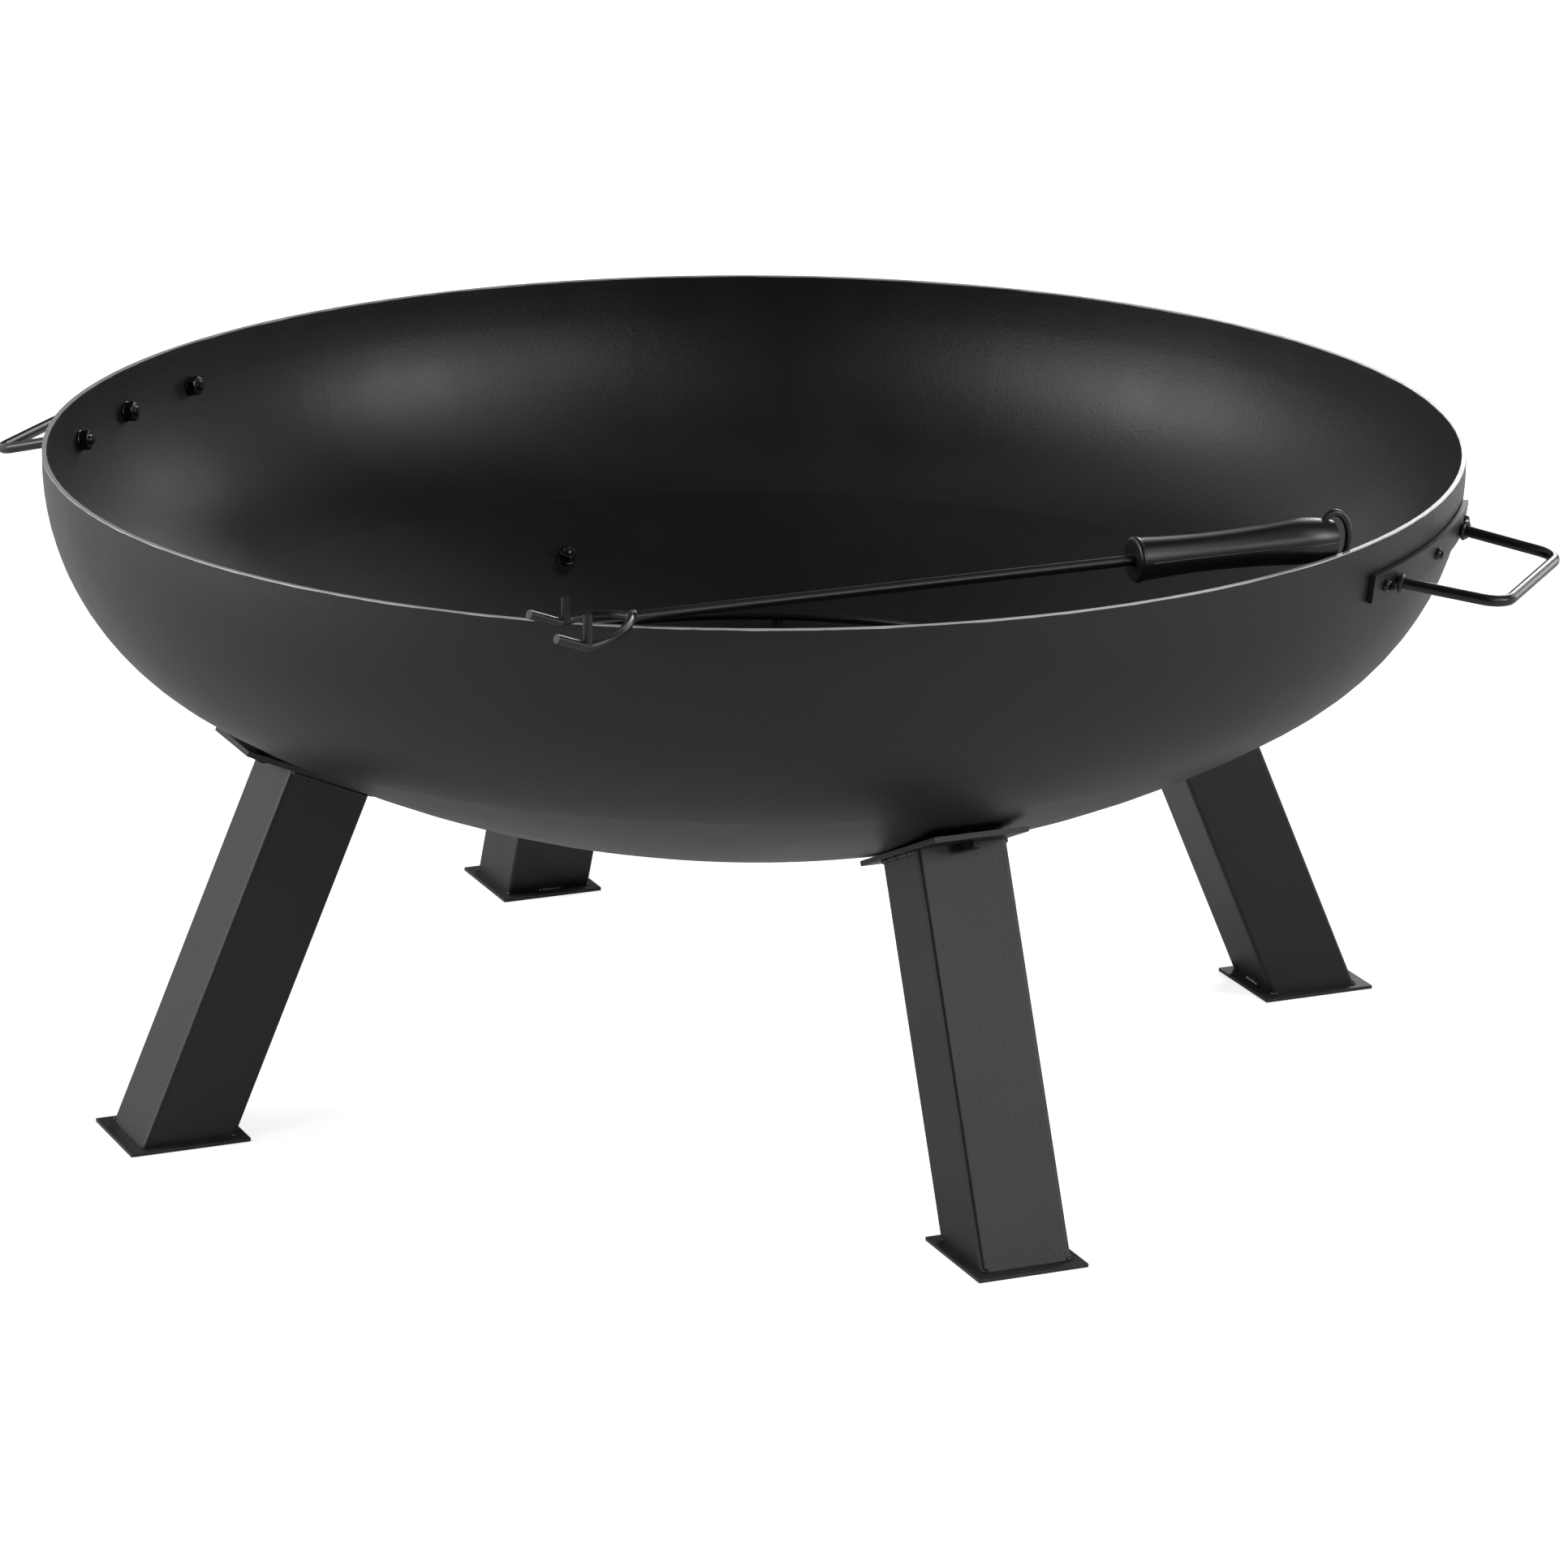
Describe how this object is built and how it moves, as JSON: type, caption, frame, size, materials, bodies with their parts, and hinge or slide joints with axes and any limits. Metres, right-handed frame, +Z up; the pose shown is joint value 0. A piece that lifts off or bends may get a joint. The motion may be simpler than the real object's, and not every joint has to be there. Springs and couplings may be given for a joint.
{
  "type": "fire pit with grate",
  "caption": "Round steel bowl fire pit on leaning box-section legs, with side carrying handles, a lift-out round grate and a forked grate lifter.",
  "frame": {"origin": "on the ground under the middle of the bowl", "axes": "+Z up, X through the two carrying handles, -Y towards the side where the lifting tool's fork lies"},
  "size_m": [0.9172, 0.8497, 0.3911],
  "materials": {
    "black_paint": "satin black heat-proof paint with a fine texture",
    "black_fasteners": "black coated fasteners",
    "grate_steel": "satin black paint",
    "tool_steel": "satin black paint",
    "grip_plastic": "satin black moulding"
  },
  "bodies": {
    "base": {"bowl": "black_paint", "leg_front_right": "black_paint", "top_plate_front_right": "black_paint", "foot_plate_front_right": "black_paint", "leg_rear_right": "black_paint", "top_plate_rear_right": "black_paint", "foot_plate_rear_right": "black_paint", "leg_rear_left": "black_paint", "top_plate_rear_left": "black_paint", "foot_plate_rear_left": "black_paint", "leg_front_left": "black_paint", "top_plate_front_left": "black_paint", "foot_plate_front_left": "black_paint", "leg_bolts": "black_fasteners", "leg_washers": "black_fasteners", "leg_nuts": "black_fasteners", "handle_strap_right": "black_paint", "handle_rod_right": "black_paint", "handle_strap_left": "black_paint", "handle_rod_left": "black_paint", "handle_bolts": "black_fasteners", "handle_washers": "black_fasteners", "handle_nuts": "black_fasteners"},
    "grate": {"grate_ring": "grate_steel", "grate_bars": "grate_steel", "grate_cross_rod": "grate_steel", "grate_side_rods": "grate_steel"},
    "lifter": {"lifter_rod": "tool_steel", "lifter_fork": "tool_steel", "lifter_post_far": "tool_steel", "lifter_post_near": "tool_steel", "lifter_grip": "grip_plastic"}
  },
  "joints": [
    {"name": "grate_lift", "type": "slide", "parent": "base", "child": "grate", "axis": [0, 0, 1], "range_m": [0, 0.2]},
    {"name": "lifter_lift", "type": "slide", "parent": "base", "child": "lifter", "axis": [0, 0, 1], "range_m": [0, 0.1]}
  ]
}
